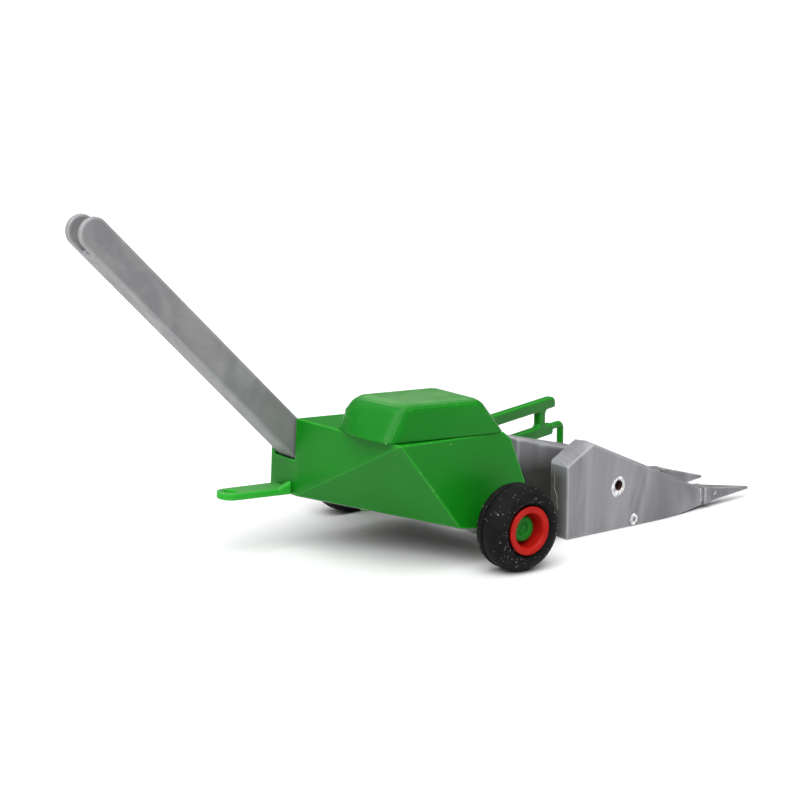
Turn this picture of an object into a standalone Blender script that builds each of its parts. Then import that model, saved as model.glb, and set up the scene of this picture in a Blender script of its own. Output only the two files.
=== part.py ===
"""Toy corn picker: single-row, pull type, moulded plastic, about 1:64.

Lengths are written in millimetres and scaled to metres. +X points forward to the snouts, +Y is the
machine's left and +Z is up. Positions are first given from the point on the ground under the axle.
The body is nose-down, so its pieces hang from an empty on the axle line that carries the tilt.
"""

import math

import bmesh
import bpy
from mathutils import Matrix, Vector

MM = 0.001

# --- driving dimensions, millimetres ------------------------------------------------------------
CENTRE_X = 0.92           # middle of the overall length, forward of the axle
CENTRE_Y = 0.7            # middle of the overall width, left of the working centre line
BODY_TILT = math.radians(3.2)

WHEEL_RADIUS = 7.0
TYRE_WIDTH = 6.0
TYRE_BORE = 3.62
RIGHT_WHEEL_Y = -22.6
LEFT_WHEEL_Y = 24.0
RIM_RADIUS = 3.95
RIM_LIP = 2.8
AXLE_RADIUS = 0.9
BOSS_RADIUS = 1.9
BOSS_GAP = 0.35             # between a boss and its wheel
AXLE_CLEARANCE = 0.08
HUB_RADIUS = 2.1
CAP_SEAT = 0.1                # outer side of the rim's web, from the wheel's middle
DIMPLE_RADIUS = 1.0

BODY_TOP = 20.9
BODY_REAR = -22.4
BODY_LEFT = 14.6
BOX_RIGHT = 7.1
BODY_WALL = 1.1
LEFT_DECK = 18.6
HOOD_TOP = 26.95
PAN_REAR_Z = 8.15
PAN_SLOPE = -0.1176
PAN_THICKNESS = 0.8
PAN_DROP = 0.45

SLOT_RIGHT = 8.0
SLOT_LEFT = 13.7
SLOT_FRONT = -11.2

ELEVATOR_ANGLE = math.radians(42.13)   # above the body's own floor line
ELEVATOR_LENGTH = 61.5                 # pivot to the centre of the round end
ELEVATOR_HALF_DEPTH = 2.57
ELEVATOR_RIGHT = 8.45
ELEVATOR_LEFT = 13.3
ELEVATOR_SIDE = 1.0
ELEVATOR_MOUTH = 4.5
PIVOT_X = -14.6
PIVOT_Z = 10.9
PIVOT_RADIUS = 0.75

TONGUE_Y = 10.6
TONGUE_TOP = 9.35
TONGUE_THICK = 1.15
TONGUE_WIDTH = 4.4
TONGUE_EYE_X = -32.9
TONGUE_EYE_RADIUS = 1.15

DRAWBAR_TURN = math.radians(17.0)
BAR_WIDTH = 1.5
BAR_HEIGHT = 2.0
LOWER_BAR_Z = 12.62
UPPER_BAR_Z = 17.35
REAR_POST = 4.3             # start of each upright, from the rails' root
FRONT_POST = 22.5
POST = 1.74
HITCH_PIN_RADIUS = 0.6

SNOUT_REAR = 17.6
RIGHT_SNOUT = (-13.9, -9.0)
LEFT_SNOUT = (-3.1, 2.0)
BAND_X = 49.6
BAND_LENGTH = 1.5

# --- colours, linear --------------------------------------------------------------------------------
GREEN = (0.022, 0.205, 0.030)
BRIGHT_GREEN = (0.035, 0.320, 0.030)
GREY = (0.275, 0.275, 0.285)
DARK_GREY = (0.165, 0.168, 0.160)
RUBBER = (0.014, 0.014, 0.015)
RED = (0.430, 0.022, 0.014)


def clear_scene():
    for item in list(bpy.data.objects):
        bpy.data.objects.remove(item, do_unlink=True)


def collection(name):
    group = bpy.data.collections.new(name)
    bpy.context.scene.collection.children.link(group)
    return group


def plastic(name, colour, roughness):
    material = bpy.data.materials.new(name)
    material.use_nodes = True
    shader = material.node_tree.nodes["Principled BSDF"]
    shader.inputs["Base Color"].default_value = (*colour, 1.0)
    shader.inputs["Roughness"].default_value = roughness
    shader.inputs["Metallic"].default_value = 0.0
    material.diffuse_color = (*colour, 1.0)
    return material


def empty(name, location, rotation=(0.0, 0.0, 0.0), parent=None):
    item = bpy.data.objects.new(name, None)
    item.empty_display_size = 4 * MM
    item.location = [v * MM for v in location]
    item.rotation_euler = rotation
    item.parent = parent
    PARTS.objects.link(item)
    return item


def add_object(name, work, colour=None, roughness=0.4, parent=None, location=(0, 0, 0), cutter=False):
    """Make an object from a bmesh drawn in millimetres and free the bmesh."""
    bmesh.ops.scale(work, vec=(MM, MM, MM), verts=work.verts)
    bmesh.ops.recalc_face_normals(work, faces=work.faces)
    mesh = bpy.data.meshes.new(name)
    work.to_mesh(mesh)
    work.free()
    item = bpy.data.objects.new(name, mesh)
    item.location = [v * MM for v in location]
    item.parent = parent
    if cutter:
        CUTTERS.objects.link(item)
        item.hide_render = True
        item.display_type = 'WIRE'
    else:
        PARTS.objects.link(item)
        mesh.materials.append(plastic(name, colour, roughness))
    return item


def block(low, high):
    work = bmesh.new()
    bmesh.ops.create_cube(work, size=1.0)
    size = [b - a for a, b in zip(low, high)]
    middle = [(a + b) / 2 for a, b in zip(low, high)]
    bmesh.ops.scale(work, vec=size, verts=work.verts)
    bmesh.ops.translate(work, vec=middle, verts=work.verts)
    return work


def hull(points):
    """A convex moulding from its corner points, flat faces merged."""
    work = bmesh.new()
    for point in points:
        work.verts.new(point)
    bmesh.ops.convex_hull(work, input=work.verts)
    loose = [v for v in work.verts if not v.link_faces]
    bmesh.ops.delete(work, geom=loose, context='VERTS')
    bmesh.ops.dissolve_limit(work, angle_limit=math.radians(0.6), verts=work.verts, edges=work.edges)
    return work


def rod(start, end, radius, segments=32):
    """A round bar between two points."""
    start, end = Vector(start), Vector(end)
    line = end - start
    work = bmesh.new()
    bmesh.ops.create_cone(work, cap_ends=True, cap_tris=False, segments=segments,
                          radius1=radius, radius2=radius, depth=line.length)
    turn = line.to_track_quat('Z', 'Y').to_matrix().to_4x4()
    bmesh.ops.transform(work, matrix=Matrix.Translation((start + end) / 2) @ turn, verts=work.verts)
    return work


def prism(outline, low, high):
    """An XZ outline pushed from Y = low to Y = high."""
    work = bmesh.new()
    ring = [work.verts.new((x, low, z)) for x, z in outline]
    face = work.faces.new(ring)
    pushed = bmesh.ops.extrude_face_region(work, geom=[face])
    moved = [g for g in pushed['geom'] if isinstance(g, bmesh.types.BMVert)]
    bmesh.ops.translate(work, vec=(0, high - low, 0), verts=moved)
    return work


def plate(outline, low, high):
    """An XY outline pushed from Z = low to Z = high."""
    work = bmesh.new()
    ring = [work.verts.new((x, y, low)) for x, y in outline]
    face = work.faces.new(ring)
    pushed = bmesh.ops.extrude_face_region(work, geom=[face])
    moved = [g for g in pushed['geom'] if isinstance(g, bmesh.types.BMVert)]
    bmesh.ops.translate(work, vec=(0, 0, high - low), verts=moved)
    return work


def arc(cx, cz, radius, start, end, steps):
    """Points along an arc, angles in degrees."""
    angles = [math.radians(start + (end - start) * i / steps) for i in range(steps + 1)]
    return [(cx + radius * math.cos(a), cz + radius * math.sin(a)) for a in angles]


def bevel(item, width, segments=2, angle=30.0):
    """Round the edges sharper than the angle."""
    step = item.modifiers.new("edge_round", 'BEVEL')
    step.width = width * MM
    step.segments = segments
    step.limit_method = 'ANGLE'
    step.angle_limit = math.radians(angle)
    step.harden_normals = False
    return item


def combine(item, work, operation):
    """Boolean the item with a bmesh drawn in the item's own frame."""
    name = item.name + "_" + operation.lower()
    tool = add_object(name, work, parent=item.parent, location=(0, 0, 0), cutter=True)
    tool.location = item.location
    tool.rotation_euler = item.rotation_euler
    step = item.modifiers.new(name, 'BOOLEAN')
    step.object = tool
    step.operation = operation
    step.solver = 'EXACT'
    return item


def cut(item, work):
    return combine(item, work, 'DIFFERENCE')


def join(item, work):
    return combine(item, work, 'UNION')


def smooth(item, angle=35.0):
    item.data.shade_smooth()
    item.data.set_sharp_from_angle(angle=math.radians(angle))
    return item


def revolve(name, profile, steps, colour, roughness, parent):
    """Turn a (radius, offset) profile round the object's own Z axis. It closes unless it ends on the axis."""
    work = bmesh.new()
    ring = [work.verts.new((r, 0.0, h)) for r, h in profile]
    close = [ring[0]] if profile[0][0] > 0 else []
    for first, second in zip(ring, ring[1:] + close):
        work.edges.new((first, second))
    item = add_object(name, work, colour, roughness, parent)
    step = item.modifiers.new("turn", 'SCREW')
    step.axis = 'Z'
    step.steps = steps
    step.render_steps = steps
    step.use_merge_vertices = True
    step.merge_threshold = 0.00001
    step.use_smooth_shade = True
    return item


def floor_z(x):
    """Height of the body's lower edge at a station."""
    return PAN_REAR_Z + PAN_SLOPE * (x - BODY_REAR)


def side_y(x, z):
    """The right side wall leans in upward and narrows forward."""
    return -15.3 + 0.0946 * (x - 1.9) + 0.0637 * (z - BODY_TOP)


# --- body -----------------------------------------------------------------------------------------------
def body_points():
    """Corners of the body moulding."""
    points = []
    for x, z in ((1.95, BODY_TOP), (3.55, 19.67), (5.2, 16.0), (6.85, 12.4), (7.3, floor_z(7.3))):
        points += [(x, side_y(x, z), z), (x, BODY_LEFT, z)]
    corner = floor_z(BODY_REAR)
    points += [(-20.3, side_y(-20.3, BODY_TOP), BODY_TOP), (BODY_REAR, BOX_RIGHT, BODY_TOP),
               (BODY_REAR, BODY_LEFT, BODY_TOP), (BODY_REAR, BOX_RIGHT, corner + 1.7),
               (BODY_REAR + 0.25, BOX_RIGHT + 0.35, corner), (BODY_REAR, BODY_LEFT, corner)]
    return points + ridge_foot()


def ridge_foot():
    """Two low corners with a narrow facet between them at the foot of the side ridge."""
    return [(-5.35, side_y(-5.35, 6.2), floor_z(-5.35)), (-7.35, -16.95, floor_z(-7.35)),
            (-6.9, side_y(-6.9, 8.2), 8.2)]


def inside(points, wall, low, high):
    """The convex room inside a hull: its side and top faces moved in, run down to a low floor."""
    outer = hull(points)
    bmesh.ops.recalc_face_normals(outer, faces=outer.faces)
    work = block((-60, -60, low), (60, 60, high))
    for face in outer.faces:
        if face.normal.z > -0.9:
            trim(work, face.calc_center_median() - face.normal * wall, face.normal)
    outer.free()
    return work


def trim(work, point, normal):
    """Slice a closed solid with a plane, drop what is beyond it and close the slice."""
    everything = work.verts[:] + work.edges[:] + work.faces[:]
    bmesh.ops.bisect_plane(work, geom=everything, plane_co=point, plane_no=normal, clear_outer=True)
    rim = [e for e in work.edges if e.is_boundary]
    if rim:
        bmesh.ops.holes_fill(work, edges=rim, sides=0)


def make_body(tilt):
    shell = add_object("body_shell", hull(body_points()), GREEN, 0.42, tilt)
    cut(shell, block((-40, SLOT_RIGHT, LEFT_DECK), (20, 30, 30)))
    cut(shell, right_room())
    cut(shell, left_room())
    cut(shell, slot_cutter())
    cut(shell, rod((0, -30, WHEEL_RADIUS), (0, 30, WHEEL_RADIUS), AXLE_RADIUS + 0.1))
    cut(shell, rod((PIVOT_X, 12, PIVOT_Z), (PIVOT_X, 20, PIVOT_Z), PIVOT_RADIUS + 0.1, 24))
    bevel(shell, 0.22, 2, 24)
    smooth(shell, 28)
    return shell


def right_room():
    """Hollow of the body under its high top."""
    room = inside(body_points(), BODY_WALL, 0.0, BODY_TOP)
    trim(room, Vector((0, SLOT_RIGHT - 1.5, 0)), Vector((0, 1, 0)))
    return room


def left_room():
    """Hollow of the body under its lower left deck, where the elevator's foot turns."""
    room = inside(body_points(), BODY_WALL, -1.0, LEFT_DECK - BODY_WALL)
    trim(room, Vector((0, SLOT_RIGHT - 2.2, 0)), Vector((0, -1, 0)))
    return room


def slot_cutter():
    """The elevator's slot: sloped sill in the rear wall, open at the top."""
    slope = math.tan(ELEVATOR_ANGLE)
    sill = 14.05
    outline = [(-27.0, sill + slope * (-22.4 + 27.0)), (-20.9, sill - slope * 1.5), (SLOT_FRONT, 12.7),
               (SLOT_FRONT, 24.0), (-27.0, 24.0)]
    return prism(outline, SLOT_RIGHT - 0.15, SLOT_LEFT)


def make_hood(tilt):
    """Rounded cover on the body, with a small box against its left side."""
    corners = [(-21.2, -1.2, BODY_TOP), (-21.9, -15.95, BODY_TOP), (2.25, -15.9, BODY_TOP), (2.25, -1.2, BODY_TOP),
               (-20.9, -3.9, HOOD_TOP), (-18.4, -15.5, HOOD_TOP), (-3.1, -15.8, HOOD_TOP), (-3.6, -3.9, HOOD_TOP)]
    points = corners[4:] + [run_down(corners[i], corners[i + 4]) for i in range(4)]
    hood = add_object("hood_cover", hull(points), GREEN, 0.40, tilt)
    bevel(hood, 1.8, 5, 20)
    cut(hood, block((-40, -40, 0), (30, 30, BODY_TOP + 0.12)))
    smooth(hood, 28)
    box = hull([(-18.1, -3.4, 20.0), (-18.1, 1.5, 20.0), (-6.0, 1.5, 20.0), (-6.0, -3.4, 20.0),
                (-17.8, -3.4, 23.8), (-17.8, 1.3, 23.8), (-7.0, 1.3, 23.8), (-7.0, -3.4, 23.8)])
    side = add_object("hood_side_box", box, GREEN, 0.42, tilt)
    bevel(side, 0.7, 4, 40)
    cut(side, block((-40, -40, 10), (30, 30, BODY_TOP + 0.12)))
    cut(side, hull([(x, y + 0.15, z) for x, y, z in points]))
    smooth(side, 28)


def run_down(base, top):
    """A corner line carried on below the hood's base."""
    return tuple(b + (b - t) * 1.2 for b, t in zip(base, top))


def make_pan(tilt):
    """Floor plate that plugs the body's open underside and drops a little below it."""
    work = inside(body_points(), BODY_WALL + 0.15, 0.0, 14.0)
    slant = Vector((-PAN_SLOPE, 0, 1)).normalized()
    low = Vector((0, 0, floor_z(0) - PAN_DROP))
    trim(work, low, -slant)
    trim(work, low + Vector((0, 0, PAN_THICKNESS)), slant)
    pan = add_object("base_pan", work, DARK_GREY, 0.5, tilt)
    cut(pan, rod((2.4, -6, 0), (2.4, -6, 12), 0.75, 24))
    cut(pan, rod((-12.0, 1.5, 0), (-12.0, 1.5, 12), 0.75, 24))
    bevel(pan, 0.12, 1, 40)
    for name, x, y, height in (("front_stake", 2.4, -6.0, 17.6), ("rear_stake", -12.0, 1.5, 19.6)):
        under = floor_z(x) - PAN_DROP
        post = add_object(name, rod((x, y, under - 0.14), (x, y, height), 0.65, 24), GREEN, 0.45, tilt)
        join(post, rod((x, y, under - 0.42), (x, y, under - 0.12), 1.3, 24))
        smooth(post)


def make_tongue(tilt):
    half = TONGUE_WIDTH / 2
    root = BODY_REAR - 0.1
    end = arc(TONGUE_EYE_X, TONGUE_Y, half, 90, 270, 14)
    outline = [(root, TONGUE_Y + half + 0.3)] + end + [(root, TONGUE_Y - half)]
    tongue = add_object("rear_hitch_tongue", plate(outline, TONGUE_TOP - TONGUE_THICK, TONGUE_TOP),
                        BRIGHT_GREEN, 0.38, tilt)
    cut(tongue, rod((TONGUE_EYE_X, TONGUE_Y, 0), (TONGUE_EYE_X, TONGUE_Y, 20), TONGUE_EYE_RADIUS))
    gusset = [(root, TONGUE_TOP - 0.3), (root - 2.6, TONGUE_TOP - 0.3), (root, TONGUE_TOP + 1.0)]
    join(tongue, prism(gusset, TONGUE_Y - half, TONGUE_Y - half + 1.0))
    bevel(tongue, 0.18, 2, 40)
    smooth(tongue, 30)


# --- elevator ---------------------------------------------------------------------------------------------
def stadium(length, half):
    """Side outline with round ends, the foot at the origin."""
    return arc(0, 0, half, 270, 90, 14) + arc(length, 0, half, 90, -90, 14)


def make_elevator(tilt):
    """Open-topped trough. Its own X runs up the boom, its origin is the pivot."""
    pivot = empty("elevator_axis", (PIVOT_X, 0, PIVOT_Z), (0, 0, 0), tilt)
    pivot.rotation_euler = (0, -ELEVATOR_ANGLE, math.pi)
    boom = add_object("elevator", elevator_solid(), GREY, 0.42, pivot)
    cut(boom, trough_cutter())
    cut(boom, rod((0, -20, 0), (0, 20, 0), PIVOT_RADIUS + 0.06, 24))
    bevel(boom, 0.3, 2, 40)
    smooth(boom, 30)


def elevator_solid():
    outline = [(x, -z) for x, z in stadium(ELEVATOR_LENGTH, ELEVATOR_HALF_DEPTH)]
    return prism(outline, -ELEVATOR_LEFT, -ELEVATOR_RIGHT)


def trough_cutter():
    """Space between the sides, open along the top and through at the mouth."""
    half = ELEVATOR_HALF_DEPTH
    mouth = ELEVATOR_LENGTH + half - ELEVATOR_MOUTH
    outline = [(-10, half + 2), (-10, -half - 2), (2.9, -half - 2), (3.6, -half + 1.0),
               (mouth - 0.8, -half + 1.0), (mouth, -half - 2), (ELEVATOR_LENGTH + 10, -half - 2),
               (ELEVATOR_LENGTH + 10, half + 2)]
    return prism(outline, -ELEVATOR_LEFT + ELEVATOR_SIDE, -ELEVATOR_RIGHT - ELEVATOR_SIDE)


def make_pivot(tilt):
    pin = rod((PIVOT_X, 6.9, PIVOT_Z), (PIVOT_X, BODY_LEFT - 0.1, PIVOT_Z), PIVOT_RADIUS, 24)
    smooth(add_object("elevator_pivot_pin", pin, DARK_GREY, 0.4, tilt))
    foot = floor_z(PIVOT_X) - PAN_DROP + PAN_THICKNESS + 0.35
    outline = [(PIVOT_X - 3.0, foot), (PIVOT_X + 3.0, foot)] + arc(PIVOT_X, PIVOT_Z, 1.9, 10, 170, 10)
    rib = add_object("pivot_rib", prism(outline, 7.15, 8.15), DARK_GREY, 0.5, tilt)
    cut(rib, rod((PIVOT_X, 0, PIVOT_Z), (PIVOT_X, 20, PIVOT_Z), PIVOT_RADIUS + 0.06, 24))
    smooth(rib)


# --- drawbar ------------------------------------------------------------------------------------------------
def make_drawbar(ground):
    """Two level rails that reach forward and to the left. The empty sits at their root."""
    root = empty("drawbar_root", (7.6, 1.2, 0.0), (0, 0, DRAWBAR_TURN), ground)
    half = BAR_WIDTH / 2
    side = prism(truss_outline(), -half, half)
    against_body = Vector((math.cos(DRAWBAR_TURN), -math.sin(DRAWBAR_TURN), 0.3926))
    trim(side, Vector((0, 0, 4.35 / 0.3926)), -against_body)
    truss = add_object("drawbar_truss", side, GREEN, 0.42, root)
    cut(truss, prism(window(-9.0, REAR_POST), -5, 5))
    cut(truss, prism(window(REAR_POST + POST, FRONT_POST), -5, 5))
    bevel(truss, 0.3, 2, 40)
    smooth(truss, 30)
    make_drawbar_pin(root, LOWER_BAR_Z + BAR_HEIGHT / 2 - 0.75)


def truss_outline():
    """Both rails and the open fork at their front end, from the side."""
    low, high = LOWER_BAR_Z - BAR_HEIGHT / 2, UPPER_BAR_Z + BAR_HEIGHT / 2
    lip, roof = LOWER_BAR_Z + BAR_HEIGHT / 2, UPPER_BAR_Z - BAR_HEIGHT / 2
    back = FRONT_POST + POST
    return ([(-9, low)] + arc(26.2, low + 0.6, 0.6, 270, 360, 4) + arc(26.4, lip - 0.4, 0.4, 0, 90, 3)
            + arc(back + 0.7, lip + 0.7, 0.7, 270, 180, 4) + arc(back + 0.8, roof - 0.8, 0.8, 180, 90, 4)
            + [(27.4, roof)] + arc(26.3, high - 1.1, 1.1, 0, 90, 5) + [(-9, high)])


def window(start, end):
    """Gap between the rails, with filleted corners."""
    low, high, r = LOWER_BAR_Z + BAR_HEIGHT / 2, UPPER_BAR_Z - BAR_HEIGHT / 2, 0.7
    return (arc(end - r, low + r, r, 270, 360, 4) + arc(end - r, high - r, r, 0, 90, 4)
            + arc(start + r, high - r, r, 90, 180, 4) + arc(start + r, low + r, r, 180, 270, 4))


def make_drawbar_pin(root, height):
    """Round pin bent down from a short neck at the end of the lower rail."""
    path = [(26.85, height), (29.2, height)] + arc(29.2, height - 0.9, 0.9, 75, 0, 5)
    path.append((30.1, LOWER_BAR_Z - 3.75))
    curve = bpy.data.curves.new("drawbar_pin", 'CURVE')
    curve.dimensions = '3D'
    curve.bevel_depth = HITCH_PIN_RADIUS * MM
    curve.bevel_resolution = 4
    curve.use_fill_caps = True
    line = curve.splines.new('POLY')
    line.points.add(len(path) - 1)
    for point, (x, z) in zip(line.points, path):
        point.co = (x * MM, 0.0, z * MM, 1.0)
    curve.materials.append(plastic("drawbar_pin", GREEN, 0.42))
    pin = bpy.data.objects.new("drawbar_pin", curve)
    pin.parent = root
    PARTS.objects.link(pin)


# --- snouts --------------------------------------------------------------------------------------------------
def right_snout_sections():
    """Side stations: x, bottom z, top z, right y, left y."""
    outer, inner = RIGHT_SNOUT
    return [(SNOUT_REAR, 0.0, 12.35, outer, inner - 0.6), (SNOUT_REAR + 0.6, 0.0, 12.7, outer, inner),
            (23.2, 0.0, 15.5, outer, inner),
            (38.7, 0.0, 8.15, outer, inner), (42.6, 0.0, 6.3, outer + 0.35, inner - 0.1),
            (BAND_X, 0.75, 3.55, outer + 1.1, inner - 0.75)]


def left_snout_sections():
    outer, inner = LEFT_SNOUT
    return [(SNOUT_REAR - 1.2, 0.0, 15.3, outer + 0.7, inner), (21.0, 0.0, 13.6, outer, inner),
            (28.7, 0.0, 11.75, outer, inner), (42.6, 0.0, 7.1, outer + 0.3, inner - 0.3),
            (BAND_X, 0.75, 4.6, outer + 0.9, inner - 0.9)]


def section_points(sections):
    points = []
    for x, low, high, outer, inner in sections:
        points += [(x, outer, low), (x, inner, low), (x, outer, high), (x, inner, high)]
    return points


def make_snout(name, sections, crown, ground, round_size):
    """Solid snout body: a hull through its stations, with a crowned back."""
    points = section_points(sections)
    middle = (sections[0][3] + sections[0][4]) / 2
    points += [(x, middle, high + crown) for x, low, high, outer, inner in sections[1:-1]]
    snout = add_object(name, hull(points), GREY, 0.42, ground)
    bevel(snout, round_size, 3, 22)
    smooth(snout, 28)
    return snout


def nose_points(sections, tip_y, tip_x):
    """Band behind, then a spear that rises to the tip."""
    x, low, high, outer, inner = sections[-1]
    start = x + 0.1
    end = start + BAND_LENGTH
    swell = 0.18
    points = [(start, outer - swell, low), (start, inner + swell, low), (start, outer - swell, high + swell),
              (start, inner + swell, high + swell), (end, outer - swell + 0.1, low + 0.12),
              (end, inner + swell - 0.1, low + 0.12), (end, outer - swell + 0.1, high + swell - 0.1),
              (end, inner + swell - 0.1, high + swell - 0.1)]
    spear = [(end - 0.2, outer + 0.1, low + 0.2), (end - 0.2, inner - 0.1, low + 0.2),
             (end - 0.2, outer + 0.1, high), (end - 0.2, inner - 0.1, high),
             (tip_x - 0.3, tip_y - 0.3, 1.45), (tip_x - 0.3, tip_y + 0.3, 1.45),
             (tip_x, tip_y, 1.6), (tip_x - 0.3, tip_y - 0.25, 1.85), (tip_x - 0.3, tip_y + 0.25, 1.85)]
    return points, spear


def make_nose(name, sections, tip_x, ground):
    tip_y = (sections[-1][3] + sections[-1][4]) / 2
    band, spear = nose_points(sections, tip_y, tip_x)
    nose = add_object(name, hull(band), GREY, 0.42, ground)
    join(nose, hull(spear))
    bevel(nose, 0.14, 2, 30)
    smooth(nose, 30)


def make_snouts(ground):
    right = make_snout("right_snout", right_snout_sections(), 0.3, ground, 0.45)
    cut(right, rod((28.96, -20, 7.6), (28.96, RIGHT_SNOUT[0] + 3.0, 7.6), 0.95, 20))
    make_nose("right_snout_nose", right_snout_sections(), 62.0, ground)
    make_snout("left_snout", left_snout_sections(), 0.5, ground, 0.8)
    make_nose("left_snout_nose", left_snout_sections(), 61.0, ground)


def make_header(ground):
    """Deck under the body's front edge, with a floor that runs between the snouts."""
    outer, inner = RIGHT_SNOUT[0] + 0.4, LEFT_SNOUT[1] - 0.2
    front = SNOUT_REAR - 1.4
    outline = [(8.0, outer + 1.5), (front, outer + 0.3), (front, RIGHT_SNOUT[1] + 0.15),
               (26.0, RIGHT_SNOUT[1] + 0.15), (26.0, LEFT_SNOUT[0] - 0.15), (front - 0.2, LEFT_SNOUT[0] - 0.15),
               (front - 0.2, inner), (8.0, inner)]
    deck = add_object("header_deck", plate(outline, 2.2, 4.0), DARK_GREY, 0.5, ground)
    bevel(deck, 0.25, 2, 40)
    smooth(deck, 30)


# --- wheels ---------------------------------------------------------------------------------------------------
def tyre_profile():
    """Closed section, outer shoulder first. The outer side is +h."""
    h = TYRE_WIDTH / 2
    r = WHEEL_RADIUS
    return [(TYRE_BORE, h - 1.1), (RIM_RADIUS + 0.12, h - 0.75), (4.45, h - 0.3), (5.0, h), (5.4, h - 0.12),
            (5.9, h - 0.42), (6.3, h - 0.86), (6.6, h - 1.4), (6.68, h - 1.47), (6.84, h - 1.9), (r - 0.05, h - 2.4),
            (r, 0.1), (r - 0.02, -0.55), (r - 0.2, -0.72), (r - 0.55, -0.82), (r - 0.55, -1.02), (r - 0.2, -1.12),
            (r - 0.04, -1.3), (r - 0.06, -1.85), (6.8, -2.25), (6.45, -2.62), (5.8, -2.92), (4.9, -h),
            (TYRE_BORE, -h + 0.5)]


def rim_profile(bore):
    """Dished wheel: lip outside, web set inward, bore through."""
    h = TYRE_WIDTH / 2
    return [(bore, CAP_SEAT), (RIM_LIP - 0.3, CAP_SEAT), (RIM_LIP - 0.02, CAP_SEAT + 0.4), (RIM_LIP, h - 0.45),
            (RIM_LIP + 0.2, h - 0.15), (RIM_RADIUS - 0.25, h - 0.1), (RIM_RADIUS, h - 0.3),
            (RIM_RADIUS - 0.03, h - 0.5), (TYRE_BORE - 0.12, h - 0.75), (TYRE_BORE - 0.12, -h + 0.75),
            (TYRE_BORE - 0.4, -h + 0.55), (bore, -h + 0.55)]


def make_wheel(side, centre_y, tilt):
    """Origin on the axle line, outer face away from the body."""
    outward = -1 if centre_y < 0 else 1
    hub = empty(side + "_wheel_axis", (0, centre_y, WHEEL_RADIUS), (-outward * math.pi / 2, 0, 0), tilt)
    bore = AXLE_RADIUS + AXLE_CLEARANCE
    smooth(revolve(side + "_tyre", tyre_profile(), 48, RUBBER, 0.7, hub), 32)
    smooth(revolve(side + "_rim", rim_profile(bore), 48, RED, 0.38, hub), 32)
    make_hub_cap(side, centre_y, outward, tilt)


def make_hub_cap(side, centre_y, outward, tilt):
    """Swaged head that sits in the rim's dish and keeps the wheel on."""
    root = empty(side + "_cap_axis", (0, centre_y, WHEEL_RADIUS), (-outward * math.pi / 2, 0, 0), tilt)
    low = CAP_SEAT + 0.1
    profile = [(0.0, low), (HUB_RADIUS, low), (HUB_RADIUS, low + 0.75), (HUB_RADIUS - 0.2, low + 0.95),
               (DIMPLE_RADIUS + 0.15, low + 0.98), (DIMPLE_RADIUS, low + 0.85),
               (DIMPLE_RADIUS - 0.15, low + 0.55), (0.0, low + 0.45)]
    smooth(revolve(side + "_hub_cap", list(reversed(profile)), 32, BRIGHT_GREEN, 0.4, root), 32)


def make_axle(tilt):
    ends = (RIGHT_WHEEL_Y - CAP_SEAT, LEFT_WHEEL_Y + CAP_SEAT)
    shaft = rod((0, ends[0], WHEEL_RADIUS), (0, ends[1], WHEEL_RADIUS), AXLE_RADIUS, 32)
    smooth(add_object("axle", shaft, GREEN, 0.45, tilt))
    faces = (("right_axle_boss", RIGHT_WHEEL_Y + TYRE_WIDTH / 2, side_y(0, 5.2) - 0.1),
             ("left_axle_boss", LEFT_WHEEL_Y - TYRE_WIDTH / 2, BODY_LEFT + 0.1))
    for name, wheel_side, body_side in faces:
        reach = BOSS_GAP if wheel_side < 0 else -BOSS_GAP
        boss = rod((0, wheel_side + reach, WHEEL_RADIUS), (0, body_side, WHEEL_RADIUS), BOSS_RADIUS, 28)
        item = add_object(name, boss, GREEN, 0.45, tilt)
        cut(item, rod((0, -40, WHEEL_RADIUS), (0, 40, WHEEL_RADIUS), AXLE_RADIUS + 0.06, 32))
        smooth(item)


clear_scene()
PARTS = collection("corn_picker_toy")
CUTTERS = collection("cutters")
GROUND = empty("ground_frame", (-CENTRE_X, -CENTRE_Y, 0))
AXLE_LINE = empty("axle_line", (0, 0, WHEEL_RADIUS), (0, BODY_TILT, 0), GROUND)
TILT = empty("body_frame", (0, 0, -WHEEL_RADIUS), (0, 0, 0), AXLE_LINE)

make_body(TILT)
make_hood(TILT)
make_pan(TILT)
make_tongue(TILT)
make_elevator(TILT)
make_pivot(TILT)
make_axle(TILT)
make_wheel("right", RIGHT_WHEEL_Y, TILT)
make_wheel("left", LEFT_WHEEL_Y, TILT)
make_drawbar(GROUND)
make_snouts(GROUND)
make_header(GROUND)
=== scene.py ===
"""Looks for the toy corn picker: materials, small moulding marks, floor, light and camera."""

import math
import random

import bmesh
import bpy
from mathutils import Matrix, Vector, noise
from mathutils.bvhtree import BVHTree


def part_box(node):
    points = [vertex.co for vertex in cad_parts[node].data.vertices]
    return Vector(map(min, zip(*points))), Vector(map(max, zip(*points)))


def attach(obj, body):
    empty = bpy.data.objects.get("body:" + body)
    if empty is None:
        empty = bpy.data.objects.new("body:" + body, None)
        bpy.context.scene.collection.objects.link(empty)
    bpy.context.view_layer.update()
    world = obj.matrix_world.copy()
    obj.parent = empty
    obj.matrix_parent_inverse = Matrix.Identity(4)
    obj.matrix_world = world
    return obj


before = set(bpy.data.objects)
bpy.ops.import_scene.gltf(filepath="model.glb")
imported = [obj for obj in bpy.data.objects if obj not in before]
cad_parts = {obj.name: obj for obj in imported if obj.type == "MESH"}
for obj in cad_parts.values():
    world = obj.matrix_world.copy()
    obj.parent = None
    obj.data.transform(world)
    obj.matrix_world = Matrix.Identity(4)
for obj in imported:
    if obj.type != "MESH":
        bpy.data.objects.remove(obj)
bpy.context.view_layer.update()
MM = 0.001
CHASSIS = "chassis"

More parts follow.
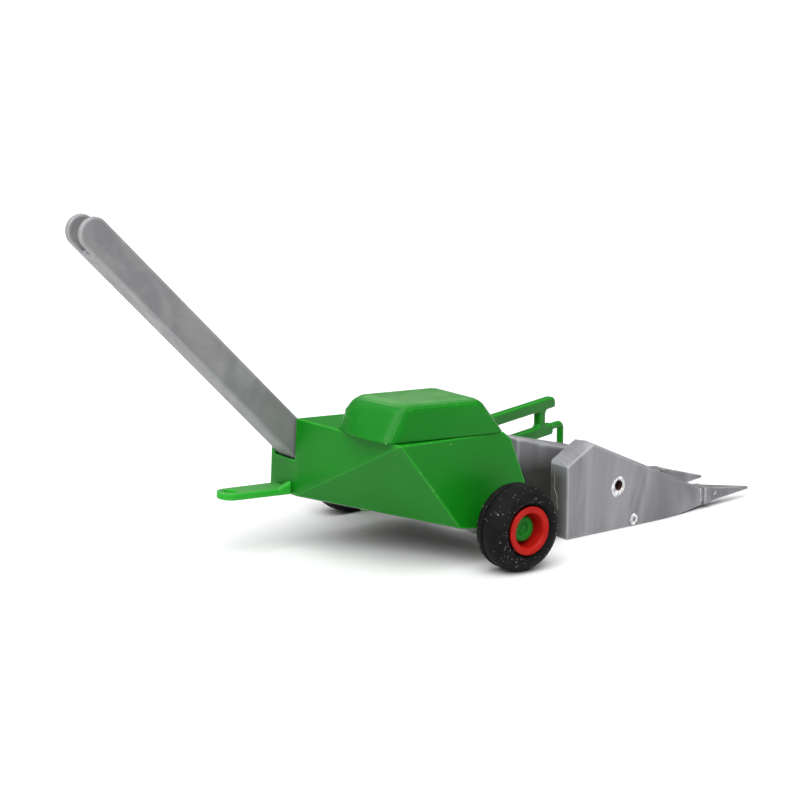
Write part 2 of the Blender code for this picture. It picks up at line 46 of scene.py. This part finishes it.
LIT_SIDE = (-0.90, 0.44, 0.0)    # the brighter side of the room
NEAR_WALL = 0.04
FAR_WALL = 0.42
CEILING = 1.1
BACKGROUND = 1.05                # brightness of the empty room as the camera sees it
LAMP_POWER = 3.0
LAMP_SPREAD = 60.0
LAMP_FROM = (-0.50, -0.50, 1.0)

FLOOR_SIZE = 12.0
FLOOR_DROP = 0.00002             # keeps the floor clear of the lowest faces
CAMERA_PLACE = Vector((-246.02, -317.3, 112.4)) * MM
CAMERA_FORWARD = (0.5875, 0.7798, -0.2164)
CAMERA_RIGHT = (0.799, -0.602, 0.0)

EDGE_WIDTH = 0.0005
# painted highlights for the corners and creases of the green and grey mouldings
EDGE_HIGHLIGHT_GREEN = (0.035, 0.42, 0.03)
EDGE_HIGHLIGHT_GREY = (0.52, 0.52, 0.54)
NO_LIP = -1.0                    # below every part, so that every corner gets the painted highlight
DUST_WHITE = (0.55, 0.55, 0.54)
SNOUT_BASE = (0.205, 0.204, 0.220)
SNOUT_DARK = (0.130, 0.129, 0.141)
SNOUT_LIGHT = (0.27, 0.27, 0.285)
SNOUT_FLOW = (1.0, 1.0, 0.28)    # squeezes the marbling into streaks
BOOM_FLOW = (0.6, 1.0, 0.6)

# A torn lip's rings from the inside out: the inner radius's share of each, and its share of the height.
RING_POINTS = 56
RING_PROFILE = ((0.86, -0.5), (0.98, 0.35), (1.0, 0.9), (0.45, 1.0), (0.2, 0.55), (0.0, -0.12))
OUTER_RINGS = 3                  # from this ring on, a torn lip reaches towards its outer edge
LINT_COUNT = 60

# Marks near the right nose, in mm: each tear's node, its place ahead of the nose's root and its lean.
TEARS = (("right_snout", -0.75, 0.05), ("right_snout", -0.15, -0.06), ("right_snout_nose", 0.45, 0.10))
TEAR_FOOT = 1.35                 # height of the lowest point
TEAR_STEP = 0.22
TEAR_POINTS = 14
SCUFF_POINTS = ((-0.5, -0.35), (-0.05, 0.28), (0.42, -0.25), (-0.45, -0.33))    # along, up
FLASH_STEPS = 16


# --- node helpers ---------------------------------------------------------------------------------
class Nodes:
    """A small builder for one node tree."""

    def __init__(self, tree):
        self.tree = tree

    def add(self, kind, **settings):
        """A new node of a kind, with its settings."""
        node = self.tree.nodes.new(kind)
        for key, value in settings.items():
            setattr(node, key, value)
        return node

    def link(self, source, target):
        self.tree.links.new(source, target)

    def ramp(self, value, low, high, start=0.0, end=1.0):
        """Map a value between low and high to start..end."""
        node = self.add("ShaderNodeMapRange")
        node.inputs["From Min"].default_value = low
        node.inputs["From Max"].default_value = high
        node.inputs["To Min"].default_value = start
        node.inputs["To Max"].default_value = end
        self.link(value, node.inputs["Value"])
        return node.outputs["Result"]

    def math(self, operation, first, second):
        """A sum, product or comparison of two sockets or numbers."""
        node = self.add("ShaderNodeMath", operation=operation)
        for socket, value in zip(node.inputs, (first, second)):
            if isinstance(value, (int, float)):
                socket.default_value = value
            else:
                self.link(value, socket)
        return node.outputs["Value"]


class Graph(Nodes):
    """The nodes of one material, new or already made."""

    def __init__(self, name):
        self.material = bpy.data.materials.get(name) or bpy.data.materials.new(name)
        self.material.use_nodes = True
        super().__init__(self.material.node_tree)
        self.shader = self.tree.nodes["Principled BSDF"]
        self.place = self.add("ShaderNodeTexCoord").outputs["Object"]

    def noise(self, scale, detail=2.0, rough=0.5, warp=0.0, place=None):
        """A cloudy value around 0.5, fixed to the object."""
        node = self.add("ShaderNodeTexNoise")
        node.inputs["Scale"].default_value = scale
        node.inputs["Detail"].default_value = detail
        node.inputs["Roughness"].default_value = rough
        node.inputs["Distortion"].default_value = warp
        self.link(place or self.place, node.inputs["Vector"])
        return node.outputs["Fac"]

    def stretched(self, scale, rotation=(0, 0, 0)):
        """Object coordinates squeezed and turned, for flow lines and scratches."""
        node = self.add("ShaderNodeMapping")
        node.inputs["Scale"].default_value = scale
        node.inputs["Rotation"].default_value = rotation
        self.link(self.place, node.inputs["Vector"])
        return node.outputs["Vector"]

    def mix(self, factor, first, second):
        """A colour between two colours or sockets."""
        node = self.add("ShaderNodeMix", data_type='RGBA')
        sockets = {s.identifier: s for s in node.inputs}
        self.link(factor, sockets["Factor_Float"])
        for key, value in (("A_Color", first), ("B_Color", second)):
            if isinstance(value, tuple):
                sockets[key].default_value = (*value, 1.0)
            else:
                self.link(value, sockets[key])
        return next(s for s in node.outputs if s.identifier == "Result_Color")

    def specks(self, scale, size, keep, seed):
        """Dots in a share of the cells of a cell pattern, 1 inside a dot."""
        node = self.add("ShaderNodeTexVoronoi")
        node.inputs["Scale"].default_value = scale
        moved = self.add("ShaderNodeVectorMath", operation='ADD')
        self.link(self.place, moved.inputs[0])
        moved.inputs[1].default_value = (seed, seed * 0.7, seed * 1.3)
        self.link(moved.outputs["Vector"], node.inputs["Vector"])
        dot = self.math("LESS_THAN", node.outputs["Distance"], size)
        split = self.add("ShaderNodeSeparateColor")
        self.link(node.outputs["Color"], split.inputs["Color"])
        chosen = self.math("LESS_THAN", split.outputs["Red"], keep)
        return self.math("MULTIPLY", dot, chosen)

    def edges(self, radius):
        """1 on convex and concave edges within the radius, 0 on flats."""
        rounded = self.add("ShaderNodeBevel", samples=8)
        rounded.inputs["Radius"].default_value = radius
        flat = self.add("ShaderNodeNewGeometry").outputs["Normal"]
        same = self.add("ShaderNodeVectorMath", operation='DOT_PRODUCT')
        self.link(rounded.outputs["Normal"], same.inputs[0])
        self.link(flat, same.inputs[1])
        return self.ramp(same.outputs["Value"], 0.997, 0.970)

    def soft_corners(self, radius):
        """A normal that rounds the moulding's corners."""
        node = self.add("ShaderNodeBevel", samples=8)
        node.inputs["Radius"].default_value = radius
        return node.outputs["Normal"]

    def axis(self, name, output="Object"):
        """One coordinate of the object's own space."""
        split = self.add("ShaderNodeSeparateXYZ")
        self.link(self.add("ShaderNodeTexCoord").outputs[output], split.inputs["Vector"])
        return split.outputs[name]

    def bump(self, height, depth, under=None):
        """A normal roughened by a height, over an earlier normal if one is given."""
        node = self.add("ShaderNodeBump")
        node.inputs["Strength"].default_value = 1.0
        node.inputs["Distance"].default_value = depth
        self.link(height, node.inputs["Height"])
        if under is not None:
            self.link(under, node.inputs["Normal"])
        return node.outputs["Normal"]

    def finish(self, colour, roughness, normal=None, **constants):
        """Wires the shader up and returns the material. Constants go straight to its sockets."""
        self.link(colour, self.shader.inputs["Base Color"])
        self.link(roughness, self.shader.inputs["Roughness"])
        if normal is not None:
            self.link(normal, self.shader.inputs["Normal"])
        for key, value in constants.items():
            self.shader.inputs[key.replace("_", " ")].default_value = value
        return self.material


# --- materials ------------------------------------------------------------------------------------
def green_plastic(name, base, deep, seed, lip=NO_LIP, top_sheen=0.0):
    """Moulded plastic with slow colour drift, a painted sheen on level faces and nicked corners with painted
    highlights.

    Corners get no painted highlight below the lip height.
    """
    g = Graph(name)
    drift = g.ramp(g.noise(70 + seed, 3, 0.5, 0.4), 0.3, 0.7)
    colour = g.mix(drift, deep, base)
    scuff = g.noise(240, 3, 0.6, 0.3, g.stretched((1.0, 0.4, 3.0), (0.0, 0.4, 0.0)))
    colour = g.mix(g.ramp(scuff, 0.66, 0.80, 0.0, 0.18), colour, (0.10, 0.36, 0.09))
    # painted sheen: faces that look up are lightened, as where light falls on them
    level = g.math("MULTIPLY", g.ramp(g.axis("Z", "Normal"), 0.80, 0.98),
                   g.ramp(g.noise(190, 2, 0.4, 0.6), 0.30, 0.62, 0.45, 1.0))
    colour = g.mix(g.math("MULTIPLY", level, top_sheen), colour, (0.095, 0.270, 0.085))
    # painted highlight on corners and creases, above the lip height
    corner = g.math("MULTIPLY", g.edges(EDGE_WIDTH), g.ramp(g.axis("Z"), lip, lip + 0.0006))
    colour = g.mix(g.math("MULTIPLY", corner, 0.50), colour, EDGE_HIGHLIGHT_GREEN)
    nick = g.specks(2300, 0.30, 0.16, seed * 0.01)
    colour = g.mix(g.math("MULTIPLY", g.math("MULTIPLY", nick, corner), 0.5), colour, (0.34, 0.66, 0.28))
    rough = g.ramp(g.noise(900, 4, 0.6), 0.3, 0.7, 0.30, 0.44)
    skin = g.bump(g.noise(2600, 3, 0.6), 0.00001, g.soft_corners(0.0003))
    wave = g.bump(g.noise(160, 2, 0.4), 0.00010, skin)
    return g.finish(colour, rough, wave, Subsurface_Weight=0.12, Subsurface_Scale=0.0012,
                    Subsurface_Radius=(0.3, 1.0, 0.3), Specular_IOR_Level=0.16)


def grey_plastic(name, base, dark, light, flow=(1, 1, 1)):
    """Grey plastic with the streaky marbling of quick moulding, scratches and painted highlights on its
    corners.
    """
    g = Graph(name)
    streak = g.noise(95, 4, 0.5, 1.6, g.stretched(flow))
    colour = g.mix(g.ramp(streak, 0.42, 0.58), dark, base)
    pale = g.ramp(g.noise(75, 3, 0.5, 2.2, g.stretched(flow)), 0.53, 0.68, 0.0, 0.75)
    colour = g.mix(pale, colour, light)
    scratch = g.noise(300, 2, 0.5, 0.2, g.stretched((1.0, 1.0, 14.0), (0.0, 0.5, 0.0)))
    mark = g.ramp(scratch, 0.68, 0.78, 0.0, 0.20)
    colour = g.mix(mark, colour, (0.50, 0.50, 0.52))
    # painted highlight on corners and creases
    colour = g.mix(g.math("MULTIPLY", g.edges(EDGE_WIDTH), 0.55), colour, EDGE_HIGHLIGHT_GREY)
    rough = g.ramp(g.noise(700, 4, 0.6), 0.3, 0.7, 0.34, 0.50)
    skin = g.bump(g.noise(2400, 3, 0.6), 0.000012, g.soft_corners(0.0006))
    wave = g.bump(g.noise(180, 2, 0.4), 0.00012, skin)
    return g.finish(colour, rough, wave, Subsurface_Weight=0.10, Subsurface_Scale=0.0010,
                    Subsurface_Radius=(1.0, 0.9, 0.8), Specular_IOR_Level=0.45)


def darker(material, mask_of, shade):
    """Mixes a shade into a finished material's colour where a mask says so."""
    g = Graph(material.name)
    feed = g.shader.inputs["Base Color"].links[0].from_socket
    g.link(g.mix(mask_of(g), feed, shade), g.shader.inputs["Base Color"])


def bore_mask(centre, radius):
    """The inside of a bore along Y."""
    def mask(g):
        side = g.math("SUBTRACT", g.axis("X"), centre.x)
        rise = g.math("SUBTRACT", g.axis("Z"), centre.z)
        square = g.math("ADD", g.math("MULTIPLY", side, side), g.math("MULTIPLY", rise, rise))
        deep = g.math("GREATER_THAN", g.axis("Y"), centre.y + 0.0001)
        return g.math("MULTIPLY", g.math("LESS_THAN", square, (radius * 1.04) ** 2), deep)
    return mask


def boom_foot_shade_mask(low, high):
    """Painted shade with a green cast of bounced light on the lower stretch of the boom, next to the green
    round it.
    """
    def mask(g):
        length = high.z - low.z
        fade = g.ramp(g.axis("Z"), low.z + 0.55 * length, low.z + 0.10 * length, 0.0, 0.7)
        cloud = g.ramp(g.noise(90, 3, 0.5, 1.0), 0.35, 0.65, 0.6, 1.0)
        return g.math("MULTIPLY", fade, cloud)
    return mask


def throat_shade_mask(top, front):
    """Painted shade on the faces that look into the throat: right-facing, lower and rearward."""
    def mask(g):
        facing = g.ramp(g.axis("Y", "Normal"), -0.55, -0.9)
        low = g.ramp(g.axis("Z"), top - 0.0005, top - 0.0050)
        back = g.ramp(g.axis("X"), front, front - 0.006)
        shade_breakup = g.ramp(g.noise(350, 3, 0.6), 0.25, 0.75, 0.86, 1.0)
        return g.math("MULTIPLY", g.math("MULTIPLY", facing, shade_breakup), g.math("MULTIPLY", low, back))
    return mask


def front_mask(rear):
    """Cloudy darker patches in the front half of a snout."""
    def mask(g):
        ahead = g.ramp(g.axis("X"), rear + 0.0140, rear + 0.0200)
        cloud = g.ramp(g.noise(130, 3, 0.5, 1.0, g.stretched((1.0, 1.0, 0.35))), 0.38, 0.60, 0.0, 0.8)
        return g.math("MULTIPLY", ahead, cloud)
    return mask


def rear_shade_mask(low):
    """Painted shade on the rear face of the right snout, deeper low down and inward."""
    def mask(g):
        facing = g.ramp(g.axis("X", "Normal"), -0.6, -0.9)
        inward = g.ramp(g.axis("Y"), low.y + 0.0002, low.y + 0.0022, 0.35, 0.85)
        drop = g.ramp(g.axis("Z"), 0.0125, 0.0100)
        return g.math("MULTIPLY", g.math("MULTIPLY", facing, drop), inward)
    return mask


def tyre_rubber(name, seed):
    """Dull rubber with lint, pale dust specks and a faint moulded grain."""
    g = Graph(name)
    drift = g.ramp(g.noise(300, 3, 0.6), 0.3, 0.7)
    colour = g.mix(drift, (0.0015, 0.0015, 0.0017), (0.0045, 0.0045, 0.0047))
    dusts = ((1300, 0.18, 0.30, 0.22), (2100, 0.22, 0.25, 0.20), (900, 0.10, 0.20, 0.5))
    for scale, size, keep, strength in dusts:
        dust = g.specks(scale, size, keep, seed + scale * 0.001)
        patch = g.ramp(g.noise(330, 2, 0.5), 0.38, 0.60)
        share = g.math("MULTIPLY", g.math("MULTIPLY", dust, patch), strength)
        colour = g.mix(share, colour, DUST_WHITE)
    rough = g.ramp(g.noise(800, 3, 0.6), 0.3, 0.7, 0.58, 0.78)
    grain = g.bump(g.noise(3200, 4, 0.7), 0.00003)
    body = g.bump(g.noise(420, 3, 0.5), 0.00010, grain)
    return g.finish(colour, rough, body, Specular_IOR_Level=0.14)


def red_plastic(name):
    """Red plastic with a slow drift and a little dust."""
    g = Graph(name)
    drift = g.ramp(g.noise(380, 3, 0.5), 0.3, 0.7)
    colour = g.mix(drift, (0.30, 0.005, 0.003), (0.40, 0.010, 0.006))
    dust = g.specks(1500, 0.14, 0.08, 0.4)
    colour = g.mix(g.math("MULTIPLY", dust, 0.35), colour, (0.7, 0.5, 0.45))
    rough = g.ramp(g.noise(1200, 3, 0.6), 0.3, 0.7, 0.32, 0.46)
    skin = g.bump(g.noise(1800, 3, 0.6), 0.00002)
    return g.finish(colour, rough, skin, Subsurface_Weight=0.08, Subsurface_Scale=0.0008,
                    Subsurface_Radius=(1.0, 0.2, 0.1), Specular_IOR_Level=0.10)


def torn_plastic(name):
    """Stress-whitened plastic at a tear or a cut-off sprue."""
    g = Graph(name)
    shade = g.ramp(g.noise(1500, 4, 0.7), 0.38, 0.60)
    colour = g.mix(shade, (0.34, 0.34, 0.35), (0.80, 0.80, 0.80))
    rough = g.ramp(g.noise(2000, 3, 0.6), 0.3, 0.7, 0.35, 0.6)
    crust = g.bump(g.noise(2600, 4, 0.7), 0.00006)
    return g.finish(colour, rough, crust, Subsurface_Weight=0.2, Subsurface_Scale=0.0008,
                    Subsurface_Radius=(1.0, 1.0, 1.0))


# the hood's corners get their painted highlight only from just above its base
HOOD_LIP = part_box("hood_cover")[0].z + 0.0016

BODY_GREEN = green_plastic("body_green", (0.004, 0.182, 0.007), (0.003, 0.158, 0.005), 1.0)
HOOD_GREEN = green_plastic("hood_green", (0.005, 0.170, 0.009), (0.003, 0.146, 0.006), 5.0,
                           lip=HOOD_LIP, top_sheen=0.85)
BRIGHT_GREEN = green_plastic("tongue_green", (0.022, 0.350, 0.025), (0.018, 0.300, 0.020), 9.0,
                             top_sheen=0.75)
SNOUT_GREY = grey_plastic("snout_grey", SNOUT_BASE, SNOUT_DARK, SNOUT_LIGHT, SNOUT_FLOW)
BOOM_GREY = grey_plastic("boom_grey", (0.212, 0.209, 0.214), (0.165, 0.162, 0.170),
                         (0.265, 0.265, 0.262), BOOM_FLOW)
DECK_GREY = grey_plastic("deck_grey", (0.10, 0.10, 0.092), (0.07, 0.07, 0.065), (0.13, 0.13, 0.12))
RUBBER = tyre_rubber("tyre_rubber", 0.3)
# a copy of the snout grey that carries the painted shade in the throat
LEFT_SNOUT_SHADED_GREY = grey_plastic("left_snout_shaded_grey", SNOUT_BASE, SNOUT_DARK, SNOUT_LIGHT, SNOUT_FLOW)
RED = red_plastic("rim_red")
TORN = torn_plastic("torn_white")
PALE_GREEN = green_plastic("torn_green", (0.16, 0.52, 0.13), (0.06, 0.36, 0.05), 3.0)
LINT = torn_plastic("lint")

NODE_LOOKS = {
    "body_shell": BODY_GREEN, "hood_cover": HOOD_GREEN, "hood_side_box": HOOD_GREEN, "axle": BODY_GREEN,
    "rear_hitch_tongue": BRIGHT_GREEN, "right_axle_boss": BODY_GREEN, "left_axle_boss": BODY_GREEN,
    "front_stake": BODY_GREEN, "rear_stake": BODY_GREEN, "drawbar_truss": BODY_GREEN,
    "drawbar_pin": BODY_GREEN, "right_hub_cap": HOOD_GREEN, "left_hub_cap": HOOD_GREEN,
    "base_pan": DECK_GREY, "header_deck": DECK_GREY, "pivot_rib": DECK_GREY, "elevator_pivot_pin": DECK_GREY,
    "elevator": BOOM_GREY, "right_snout": SNOUT_GREY, "left_snout": LEFT_SNOUT_SHADED_GREY,
    "right_snout_nose": SNOUT_GREY, "left_snout_nose": SNOUT_GREY, "right_tyre": RUBBER,
    "left_tyre": RUBBER, "right_rim": RED, "left_rim": RED,
}


def dress(node, material):
    """Gives a CAD node its only material."""
    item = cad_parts[node]
    item.data.materials.clear()
    item.data.materials.append(material)


for node, material in NODE_LOOKS.items():
    dress(node, material)


# --- small marks ----------------------------------------------------------------------------------
def low_corner(node):
    """The rear, right-hand, lowest corner of a node's box."""
    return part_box(node)[0]


def place_piece(name, work, material, body):
    """Makes a smooth-shaded piece from a bmesh, on a body."""
    mesh = bpy.data.meshes.new(name)
    work.to_mesh(mesh)
    work.free()
    item = bpy.data.objects.new(name, mesh)
    bpy.context.scene.collection.objects.link(item)
    mesh.materials.append(material)
    mesh.shade_smooth()
    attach(item, body)


def torn_ring(centre, inner, outer, height, stretch, seed, lean):
    """A ragged raised lip round a point on a wall that faces -Y. lean widens its rear lower part."""
    work = bmesh.new()
    rings = []
    for number, (share, lift) in enumerate(RING_PROFILE):
        ring = []
        for k in range(RING_POINTS):
            angle = 2 * math.pi * k / RING_POINTS
            way = Vector((math.cos(angle), 0.0, math.sin(angle)))
            ragged = noise.noise(way * 1.7 + Vector((seed, 0.0, 0.0)))
            fine = noise.noise(way * 5.5 + Vector((0.0, seed + number * 0.6, 0.0)))
            rear = lean * max(0.0, -way.x * 0.7 - way.z * 0.6)
            wide = outer * (1.0 + 0.16 * ragged + 0.10 * fine + rear)
            near = inner * (1.0 + 0.10 * fine)
            reach = near * share
            if number >= OUTER_RINGS:
                reach += wide * (1.0 - share)
            rise = height * lift * (0.75 + 0.6 * ragged + 0.45 * fine)
            point = centre + Vector((way.x * reach, -rise, way.z * reach * stretch))
            ring.append(work.verts.new(point))
        rings.append(ring)
    for first, second in zip(rings, rings[1:]):
        for k in range(RING_POINTS):
            after = (k + 1) % RING_POINTS
            work.faces.new((first[k], first[after], second[after], second[k]))
    bmesh.ops.recalc_face_normals(work, faces=work.faces)
    return work


def blobs(spots, seed):
    """Little uneven grains: (point, normal, size, flatness) each."""
    work = bmesh.new()
    pick = random.Random(seed)
    for point, normal, size, flat in spots:
        turn = normal.to_track_quat('Z', 'X').to_matrix().to_4x4()
        length = size * pick.uniform(0.6, 1.3)
        width = size * pick.uniform(0.6, 1.3)
        shape = Matrix.Diagonal((length, width, size * flat, 1.0))
        spin = Matrix.Rotation(pick.uniform(0, math.tau), 4, 'Z')
        place = Matrix.Translation(point) @ turn @ spin @ shape
        made = bmesh.ops.create_icosphere(work, subdivisions=2, radius=1.0, matrix=place)
        for vert in made["verts"]:
            vert.co += normal * size * flat * 0.3 * noise.noise(vert.co * 9000)
            vert.co += (vert.co - point) * 0.35 * noise.noise(vert.co * 7000 + point * 100)
    return work


def bead(name, points, radius, material, body):
    """A thin raised line through the points."""
    curve = bpy.data.curves.new(name, 'CURVE')
    curve.dimensions = '3D'
    curve.bevel_depth = radius
    curve.bevel_resolution = 2
    curve.use_fill_caps = True
    line = curve.splines.new('POLY')
    line.points.add(len(points) - 1)
    for place, point in zip(line.points, points):
        place.co = (*point, 1.0)
    curve.materials.append(material)
    item = bpy.data.objects.new(name, curve)
    bpy.context.scene.collection.objects.link(item)
    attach(item, body)


def snout_marks():
    """The torn hole and the cut-off gate on the right snout."""
    low = low_corner("right_snout")
    hole = Vector((low.x + 11.36 * MM, low.y, 7.6 * MM))
    # painted shade inside the torn hole's bore
    darker(SNOUT_GREY, bore_mask(hole, 0.95 * MM), (0.080, 0.036, 0.024))
    hole_lip = torn_ring(hole, 0.97 * MM, 1.36 * MM, 0.17 * MM, stretch=1.10, seed=3.1, lean=0.42)
    place_piece("hole_lip", hole_lip, TORN, CHASSIS)
    gate = Vector((low.x + 14.95 * MM, low.y, 1.12 * MM))
    gate_lip = torn_ring(gate, 0.34 * MM, 0.80 * MM, 0.26 * MM, stretch=1.28, seed=8.4, lean=0.1)
    place_piece("gate_lip", gate_lip, TORN, CHASSIS)
    middle = gate + Vector((0.02 * MM, 0.03 * MM, 0.05 * MM))
    outward = Vector((0.0, -1.0, 0.0))
    stub = blobs([(middle, outward, 0.34 * MM, 0.45)], 5)
    place_piece("gate_stub", stub, SNOUT_GREY, CHASSIS)


def surface(node):
    """A node's faces, ready for rays."""
    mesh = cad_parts[node].data
    return BVHTree.FromPolygons([v.co for v in mesh.vertices], [p.vertices for p in mesh.polygons])


def wall_point(node, x, z):
    """The point of a node's right-hand wall at a station, or None beside the node."""
    return surface(node).ray_cast(Vector((x, -1.0, z)), Vector((0.0, 1.0, 0.0)))[0]


def nose_marks():
    """Three fine tear lines round the root of the right nose, and a scuff beyond them."""
    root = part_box("right_snout_nose")[0].x
    for number, (node, step, lean) in enumerate(TEARS):
        x = root + step * MM
        path = []
        for k in range(TEAR_POINTS):
            sway = (lean * math.sin(k * 1.9) + 0.05 * math.sin(k * 3.7 + number)) * MM
            place = wall_point(node, x + sway, (TEAR_FOOT + TEAR_STEP * k) * MM)
            if place:
                path.append(place)
        if len(path) > 3:
            bead(f"nose_tear_{number}", path, 0.055 * MM, TORN, CHASSIS)
    x = root + 3.3 * MM
    scuff = [wall_point("right_snout_nose", x + a * MM, (2.3 + b) * MM) for a, b in SCUFF_POINTS]
    bead("nose_scuff", [p for p in scuff if p], 0.045 * MM, TORN, CHASSIS)


def rear_face_flash():
    """A wavy moulding flash down the right snout's rear face."""
    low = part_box("right_snout")[0]
    path = []
    for k in range(FLASH_STEPS + 1):
        share = k / FLASH_STEPS
        sway = 0.45 * math.sin(share * 5.2) + 0.14 * math.sin(share * 17.0)
        path.append(Vector((low.x, low.y + (2.95 + sway) * MM, (11.3 - 6.6 * share) * MM)))
    bead("rear_flash", path, 0.11 * MM, SNOUT_GREY, CHASSIS)


def green_marks():
    """A pale torn bit at the hood's rear right corner and a fleck on the body's side."""
    outward = Vector((-0.6, -0.6, -0.5)).normalized()
    corners = sorted((v.co.copy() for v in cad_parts["hood_cover"].data.vertices), key=outward.dot)
    spots = [(corners[-1], -outward, 0.19 * MM, 0.5), (corners[-4], -outward, 0.13 * MM, 0.6)]
    place_piece("hood_flash", blobs(spots, 11), PALE_GREEN, CHASSIS)
    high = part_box("body_shell")[1]
    side = wall_point("body_shell", high.x - 16.1 * MM, high.z - 1.45 * MM)
    beside = side + Vector((0.3, 0.0, -0.05)) * MM
    facing = Vector((0.0, -1.0, 0.1)).normalized()
    fleck = [(side, facing, 0.16 * MM, 0.5), (beside, facing, 0.10 * MM, 0.5)]
    place_piece("side_fleck", blobs(fleck, 12), PALE_GREEN, CHASSIS)


def tyre_lint(side, node, seed):
    """Lint and grit stuck to a tyre's outer wall."""
    low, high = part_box(node)
    centre = (low + high) * 0.5
    radius = (high.z - low.z) * 0.5
    outer = low.y if side == "right" else high.y
    facing = -1.0 if side == "right" else 1.0
    tree = surface(node)
    pick = random.Random(seed)
    spots = []
    for _ in range(LINT_COUNT):
        angle = pick.uniform(0.0, math.tau)
        reach = radius * pick.uniform(0.66, 0.97)
        x = centre.x + reach * math.cos(angle)
        z = centre.z + reach * math.sin(angle)
        start = Vector((x, outer + facing * 0.01, z))
        place, normal, _, _ = tree.ray_cast(start, Vector((0.0, -facing, 0.0)))
        if place:
            spots.append((place, normal, pick.uniform(0.025, 0.060) * MM, 0.6))
    place_piece(f"{side}_tyre_lint", blobs(spots, seed + 1), LINT, f"{side}_wheel")


def shade_and_dark_patches():
    """Painted shade on the right snout's rear, the boom's foot and the throat, and darker patches on the
    right snout's front.
    """
    right_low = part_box("right_snout")[0]
    left_low, left_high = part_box("left_snout")
    throat = throat_shade_mask(left_high.z - 1.0 * MM, left_low.x + 16.0 * MM)
    darker(SNOUT_GREY, front_mask(right_low.x), (0.135, 0.134, 0.146))
    # painted shade on the right snout's rear face, deeper low down and inward
    darker(SNOUT_GREY, rear_shade_mask(right_low), (0.050, 0.046, 0.036))
    # painted shade with a green cast of bounced light at the boom's foot
    darker(BOOM_GREY, boom_foot_shade_mask(*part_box("elevator")), (0.128, 0.150, 0.134))
    # painted shade in the throat, on the left snout's inner faces
    darker(LEFT_SNOUT_SHADED_GREY, throat, (0.034, 0.034, 0.028))


snout_marks()
nose_marks()
rear_face_flash()
green_marks()
tyre_lint("right", "right_tyre", 21)
tyre_lint("left", "left_tyre", 34)
shade_and_dark_patches()


# --- floor, light, camera -------------------------------------------------------------------------
def build_stage():
    """A wide, nearly white floor."""
    work = bmesh.new()
    bmesh.ops.create_grid(work, x_segments=1, y_segments=1, size=FLOOR_SIZE)
    mesh = bpy.data.meshes.new("floor")
    work.to_mesh(mesh)
    work.free()
    floor = bpy.data.objects.new("floor", mesh)
    floor.location.z = -FLOOR_DROP
    bpy.context.scene.collection.objects.link(floor)
    g = Graph("floor_white")
    colour = g.mix(g.ramp(g.noise(8, 2, 0.5), 0.3, 0.7), (0.755, 0.755, 0.765), (0.77, 0.77, 0.77))
    rough = g.ramp(g.noise(40, 2, 0.5), 0.3, 0.7, 0.75, 0.85)
    floor.data.materials.append(g.finish(colour, rough))


def build_light():
    """A bright ceiling, a dimmer far wall and a dark near side, with one broad overhead lamp.

    The camera itself sees an evenly pale room, so that a low view has no dark band.
    """
    world = bpy.data.worlds.new("studio")
    world.use_nodes = True
    bpy.context.scene.world = world
    g = Nodes(world.node_tree)
    back = g.tree.nodes["Background"]
    way = g.add("ShaderNodeTexCoord").outputs["Generated"]
    across = g.add("ShaderNodeVectorMath", operation='DOT_PRODUCT')
    g.link(way, across.inputs[0])
    across.inputs[1].default_value = LIT_SIDE
    wall = g.ramp(across.outputs["Value"], -0.6, 0.9, NEAR_WALL, FAR_WALL)
    height = g.add("ShaderNodeSeparateXYZ")
    g.link(way, height.inputs["Vector"])
    ceiling = g.ramp(height.outputs["Z"], 0.25, 0.85, 0.0, CEILING)
    seen = g.math("MULTIPLY", g.add("ShaderNodeLightPath").outputs["Is Camera Ray"], BACKGROUND)
    g.link(g.math("MAXIMUM", g.math("ADD", wall, ceiling), seen), back.inputs["Strength"])
    back.inputs["Color"].default_value = (1.0, 1.0, 1.0, 1.0)
    lamp = bpy.data.lights.new("overhead", 'SUN')
    lamp.energy = LAMP_POWER
    lamp.angle = math.radians(LAMP_SPREAD)
    item = bpy.data.objects.new("overhead", lamp)
    item.rotation_euler = Vector(LAMP_FROM).to_track_quat('Z', 'Y').to_euler()
    bpy.context.scene.collection.objects.link(item)


def build_camera():
    """A long lens low behind the right rear corner."""
    forward = Vector(CAMERA_FORWARD).normalized()
    right = Vector(CAMERA_RIGHT).normalized()
    up = right.cross(forward)
    data = bpy.data.cameras.new("camera")
    data.sensor_width = 36.0
    data.lens = 112.5
    data.clip_start = 0.02
    data.clip_end = 20.0
    camera = bpy.data.objects.new("camera", data)
    place = CAMERA_PLACE
    camera.matrix_world = Matrix(((right.x, up.x, -forward.x, place.x),
                                  (right.y, up.y, -forward.y, place.y),
                                  (right.z, up.z, -forward.z, place.z),
                                  (0.0, 0.0, 0.0, 1.0)))
    bpy.context.scene.collection.objects.link(camera)
    bpy.context.scene.camera = camera


build_stage()
build_light()
build_camera()
bpy.context.scene.view_settings.view_transform = 'Standard'
